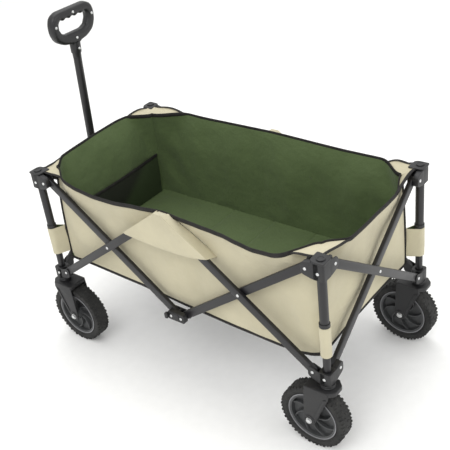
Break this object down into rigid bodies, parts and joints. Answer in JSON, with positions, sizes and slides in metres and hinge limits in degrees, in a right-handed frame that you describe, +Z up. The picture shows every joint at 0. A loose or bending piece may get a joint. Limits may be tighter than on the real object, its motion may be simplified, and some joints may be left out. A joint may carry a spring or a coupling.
{
  "type": "folding camp wagon",
  "caption": "Folding fabric camp wagon on a scissor-bar frame with telescoping posts, front swivel casters, rear fixed casters and a telescoping D-grip pull handle.",
  "frame": {"origin": "on the floor, under the middle of the wagon's overall length and width", "axes": "+Z up; X along the wagon with the pull handle and the swivel casters at -X, the front; +Y to the right-hand side seen from behind, looking forward"},
  "size_m": [0.9944, 0.5336, 0.9317],
  "materials": {
    "painted_steel": "satin black-grey powder coat",
    "black_plastic": "fine moulded texture",
    "grip_plastic": "fine moulded texture",
    "rim_plastic": "satin moulded",
    "tyre": "matt, block tread",
    "zinc_steel": "zinc plated",
    "canvas": "coated woven polyester, beige",
    "lining": "coated woven polyester, green"
  },
  "bodies": {
    "lower_hub_left": {"lower_hub_left": "black_plastic"},
    "outer_bar_front_left": {"outer_bar_front_left": "painted_steel"},
    "inner_bar_front_left": {"inner_bar_front_left": "painted_steel"},
    "outer_bar_front_right": {"outer_bar_front_right": "painted_steel"},
    "inner_bar_front_right": {"inner_bar_front_right": "painted_steel"},
    "outer_cross_bar_front": {"outer_cross_bar_front": "painted_steel"},
    "inner_cross_bar_front": {"inner_cross_bar_front": "painted_steel"},
    "outer_bar_rear_left": {"outer_bar_rear_left": "painted_steel"},
    "inner_bar_rear_left": {"inner_bar_rear_left": "painted_steel"},
    "outer_bar_rear_right": {"outer_bar_rear_right": "painted_steel"},
    "inner_bar_rear_right": {"inner_bar_rear_right": "painted_steel"},
    "outer_cross_bar_rear": {"outer_cross_bar_rear": "painted_steel"},
    "inner_cross_bar_rear": {"inner_cross_bar_rear": "painted_steel"},
    "caster_front_left": {"caster_fork_front_left": "black_plastic", "axle_bolt_front_left": "zinc_steel"},
    "lower_post_front_left": {"lower_bracket_front_left": "black_plastic", "lower_tube_front_left": "painted_steel"},
    "upper_post_front_left": {"upper_bracket_front_left": "black_plastic", "upper_tube_front_left": "painted_steel", "post_sleeve_front_left": "canvas", "bag": "canvas", "floor_board": "lining"},
    "wheel_front_left": {"tyre_front_left": "tyre", "wheel_rim_front_left": "rim_plastic"},
    "lower_post_rear_left": {"lower_bracket_rear_left": "black_plastic", "lower_tube_rear_left": "painted_steel", "caster_fork_rear_left": "black_plastic", "axle_bolt_rear_left": "zinc_steel"},
    "upper_post_rear_left": {"upper_bracket_rear_left": "black_plastic", "upper_tube_rear_left": "painted_steel", "post_sleeve_rear_left": "canvas"},
    "wheel_rear_left": {"tyre_rear_left": "tyre", "wheel_rim_rear_left": "rim_plastic"},
    "lower_post_rear_right": {"lower_bracket_rear_right": "black_plastic", "lower_tube_rear_right": "painted_steel", "caster_fork_rear_right": "black_plastic", "axle_bolt_rear_right": "zinc_steel"},
    "upper_post_rear_right": {"upper_bracket_rear_right": "black_plastic", "upper_tube_rear_right": "painted_steel", "post_sleeve_rear_right": "canvas"},
    "wheel_rear_right": {"tyre_rear_right": "tyre", "wheel_rim_rear_right": "rim_plastic"},
    "caster_front_right": {"caster_fork_front_right": "black_plastic", "axle_bolt_front_right": "zinc_steel"},
    "lower_post_front_right": {"lower_bracket_front_right": "black_plastic", "lower_tube_front_right": "painted_steel"},
    "upper_post_front_right": {"upper_bracket_front_right": "black_plastic", "upper_tube_front_right": "painted_steel", "post_sleeve_front_right": "canvas"},
    "wheel_front_right": {"tyre_front_right": "tyre", "wheel_rim_front_right": "rim_plastic"},
    "upper_hub_left": {"upper_hub_left": "black_plastic", "hub_hood_left": "canvas"},
    "upper_hub_right": {"upper_hub_right": "black_plastic", "hub_hood_right": "canvas"},
    "lower_hub_right": {"lower_hub_right": "black_plastic"},
    "handle_base": {"handle_base": "black_plastic"},
    "handle": {"handle_outer_tube": "painted_steel"},
    "handle_slider": {"handle_inner_tube": "painted_steel", "handle_grip": "grip_plastic"}
  },
  "joints": [
    {"name": "fold", "type": "hinge", "parent": "lower_hub_left", "child": "inner_bar_front_left", "pos_m": [-0.016, -0.232, 0.233], "axis": [0, 1, 0], "range_deg": [0, 41.5], "deforming": ["bag", "floor_board", "hub_hood_left", "hub_hood_right"]},
    {"name": "fold_outer_bar_front_left", "type": "hinge", "parent": "inner_bar_front_left", "child": "outer_bar_front_left", "pos_m": [-0.216, -0.232, 0.38], "axis": [0, -1, 0], "range_deg": [0, 84]},
    {"name": "fold_lower_post_front_left", "type": "hinge", "parent": "outer_bar_front_left", "child": "lower_post_front_left", "pos_m": [-0.416, -0.232, 0.233], "axis": [0, 1, 0], "range_deg": [0, 42]},
    {"name": "fold_upper_post_front_left", "type": "hinge", "parent": "inner_bar_front_left", "child": "upper_post_front_left", "pos_m": [-0.416, -0.232, 0.527], "axis": [0, -1, 0], "range_deg": [0, 42]},
    {"name": "fold_upper_hub_left", "type": "hinge", "parent": "outer_bar_front_left", "child": "upper_hub_left", "pos_m": [-0.016, -0.232, 0.527], "axis": [0, 1, 0], "range_deg": [0, 42]},
    {"name": "fold_inner_bar_rear_left", "type": "hinge", "parent": "lower_hub_left", "child": "inner_bar_rear_left", "pos_m": [0.016, -0.232, 0.233], "axis": [0, -1, 0], "range_deg": [0, 42]},
    {"name": "fold_outer_bar_rear_left", "type": "hinge", "parent": "inner_bar_rear_left", "child": "outer_bar_rear_left", "pos_m": [0.216, -0.232, 0.38], "axis": [0, 1, 0], "range_deg": [0, 84]},
    {"name": "fold_lower_post_rear_left", "type": "hinge", "parent": "outer_bar_rear_left", "child": "lower_post_rear_left", "pos_m": [0.416, -0.232, 0.233], "axis": [0, -1, 0], "range_deg": [0, 42]},
    {"name": "fold_upper_post_rear_left", "type": "hinge", "parent": "inner_bar_rear_left", "child": "upper_post_rear_left", "pos_m": [0.416, -0.232, 0.527], "axis": [0, 1, 0], "range_deg": [0, 42]},
    {"name": "fold_outer_cross_bar_rear", "type": "hinge", "parent": "upper_post_rear_left", "child": "outer_cross_bar_rear", "pos_m": [0.448, -0.2, 0.527], "axis": [-1, 0, 0], "range_deg": [0, 42]},
    {"name": "fold_inner_cross_bar_rear", "type": "hinge", "parent": "outer_cross_bar_rear", "child": "inner_cross_bar_rear", "pos_m": [0.448, 0, 0.38], "axis": [1, 0, 0], "range_deg": [0, 84]},
    {"name": "fold_lower_post_rear_right", "type": "hinge", "parent": "outer_cross_bar_rear", "child": "lower_post_rear_right", "pos_m": [0.448, 0.2, 0.233], "axis": [1, 0, 0], "range_deg": [0, 42]},
    {"name": "fold_upper_post_rear_right", "type": "hinge", "parent": "inner_cross_bar_rear", "child": "upper_post_rear_right", "pos_m": [0.448, 0.2, 0.527], "axis": [-1, 0, 0], "range_deg": [0, 42]},
    {"name": "fold_inner_cross_bar_front", "type": "hinge", "parent": "upper_post_front_left", "child": "inner_cross_bar_front", "pos_m": [-0.448, -0.2, 0.527], "axis": [-1, 0, 0], "range_deg": [0, 42]},
    {"name": "fold_outer_cross_bar_front", "type": "hinge", "parent": "inner_cross_bar_front", "child": "outer_cross_bar_front", "pos_m": [-0.448, 0, 0.38], "axis": [1, 0, 0], "range_deg": [0, 84]},
    {"name": "fold_lower_post_front_right", "type": "hinge", "parent": "inner_cross_bar_front", "child": "lower_post_front_right", "pos_m": [-0.448, 0.2, 0.233], "axis": [1, 0, 0], "range_deg": [0, 42]},
    {"name": "fold_upper_post_front_right", "type": "hinge", "parent": "outer_cross_bar_front", "child": "upper_post_front_right", "pos_m": [-0.448, 0.2, 0.527], "axis": [-1, 0, 0], "range_deg": [0, 42]},
    {"name": "fold_handle_base", "type": "hinge", "parent": "outer_cross_bar_front", "child": "handle_base", "pos_m": [-0.448, 0, 0.38], "axis": [-1, 0, 0], "range_deg": [0, 42]},
    {"name": "fold_outer_bar_rear_right", "type": "hinge", "parent": "lower_post_rear_right", "child": "outer_bar_rear_right", "pos_m": [0.416, 0.232, 0.233], "axis": [0, 1, 0], "range_deg": [0, 42]},
    {"name": "fold_inner_bar_rear_right", "type": "hinge", "parent": "outer_bar_rear_right", "child": "inner_bar_rear_right", "pos_m": [0.216, 0.232, 0.38], "axis": [0, -1, 0], "range_deg": [0, 84]},
    {"name": "fold_outer_bar_front_right", "type": "hinge", "parent": "lower_post_front_right", "child": "outer_bar_front_right", "pos_m": [-0.416, 0.232, 0.233], "axis": [0, -1, 0], "range_deg": [0, 42]},
    {"name": "fold_inner_bar_front_right", "type": "hinge", "parent": "outer_bar_front_right", "child": "inner_bar_front_right", "pos_m": [-0.216, 0.232, 0.38], "axis": [0, 1, 0], "range_deg": [0, 84]},
    {"name": "fold_upper_hub_right", "type": "hinge", "parent": "outer_bar_rear_right", "child": "upper_hub_right", "pos_m": [0.016, 0.232, 0.527], "axis": [0, -1, 0], "range_deg": [0, 42]},
    {"name": "fold_lower_hub_right", "type": "hinge", "parent": "inner_bar_rear_right", "child": "lower_hub_right", "pos_m": [0.016, 0.232, 0.233], "axis": [0, 1, 0], "range_deg": [0, 42]},
    {"name": "caster_swivel_front_left", "type": "hinge", "parent": "lower_post_front_left", "child": "caster_front_left", "pos_m": [-0.448, -0.232, 0.195], "axis": [0, 0, 1], "continuous": true},
    {"name": "wheel_spin_front_left", "type": "hinge", "parent": "caster_front_left", "child": "wheel_front_left", "pos_m": [-0.408, -0.232, 0.08923], "axis": [0, 1, 0], "continuous": true},
    {"name": "wheel_spin_rear_left", "type": "hinge", "parent": "lower_post_rear_left", "child": "wheel_rear_left", "pos_m": [0.408, -0.232, 0.08923], "axis": [0, 1, 0], "continuous": true},
    {"name": "wheel_spin_rear_right", "type": "hinge", "parent": "lower_post_rear_right", "child": "wheel_rear_right", "pos_m": [0.408, 0.232, 0.08923], "axis": [0, 1, 0], "continuous": true},
    {"name": "caster_swivel_front_right", "type": "hinge", "parent": "lower_post_front_right", "child": "caster_front_right", "pos_m": [-0.448, 0.232, 0.195], "axis": [0, 0, 1], "continuous": true},
    {"name": "wheel_spin_front_right", "type": "hinge", "parent": "caster_front_right", "child": "wheel_front_right", "pos_m": [-0.408, 0.232, 0.08923], "axis": [0, 1, 0], "continuous": true},
    {"name": "handle_pivot", "type": "hinge", "parent": "handle_base", "child": "handle", "pos_m": [-0.485, 0, 0.368], "axis": [0, -1, 0], "range_deg": [0, 115]},
    {"name": "handle_extend", "type": "slide", "parent": "handle", "child": "handle_slider", "axis": [0.0523, 0, 0.9986], "range_m": [0, 0.28]}
  ],
  "couplings": [
    {"joint": "fold_outer_bar_front_left", "follows": "fold", "ratio": 2},
    {"joint": "fold_lower_post_front_left", "follows": "fold", "ratio": 1},
    {"joint": "fold_upper_post_front_left", "follows": "fold", "ratio": 1},
    {"joint": "fold_upper_hub_left", "follows": "fold", "ratio": 1},
    {"joint": "fold_inner_bar_rear_left", "follows": "fold", "ratio": 1},
    {"joint": "fold_outer_bar_rear_left", "follows": "fold", "ratio": 2},
    {"joint": "fold_lower_post_rear_left", "follows": "fold", "ratio": 1},
    {"joint": "fold_upper_post_rear_left", "follows": "fold", "ratio": 1},
    {"joint": "fold_outer_cross_bar_rear", "follows": "fold", "ratio": 1},
    {"joint": "fold_inner_cross_bar_rear", "follows": "fold", "ratio": 2},
    {"joint": "fold_lower_post_rear_right", "follows": "fold", "ratio": 1},
    {"joint": "fold_upper_post_rear_right", "follows": "fold", "ratio": 1},
    {"joint": "fold_inner_cross_bar_front", "follows": "fold", "ratio": 1},
    {"joint": "fold_outer_cross_bar_front", "follows": "fold", "ratio": 2},
    {"joint": "fold_lower_post_front_right", "follows": "fold", "ratio": 1},
    {"joint": "fold_upper_post_front_right", "follows": "fold", "ratio": 1},
    {"joint": "fold_handle_base", "follows": "fold", "ratio": 1},
    {"joint": "fold_outer_bar_rear_right", "follows": "fold", "ratio": 1},
    {"joint": "fold_inner_bar_rear_right", "follows": "fold", "ratio": 2},
    {"joint": "fold_outer_bar_front_right", "follows": "fold", "ratio": 1},
    {"joint": "fold_inner_bar_front_right", "follows": "fold", "ratio": 2},
    {"joint": "fold_upper_hub_right", "follows": "fold", "ratio": 1},
    {"joint": "fold_lower_hub_right", "follows": "fold", "ratio": 1}
  ]
}
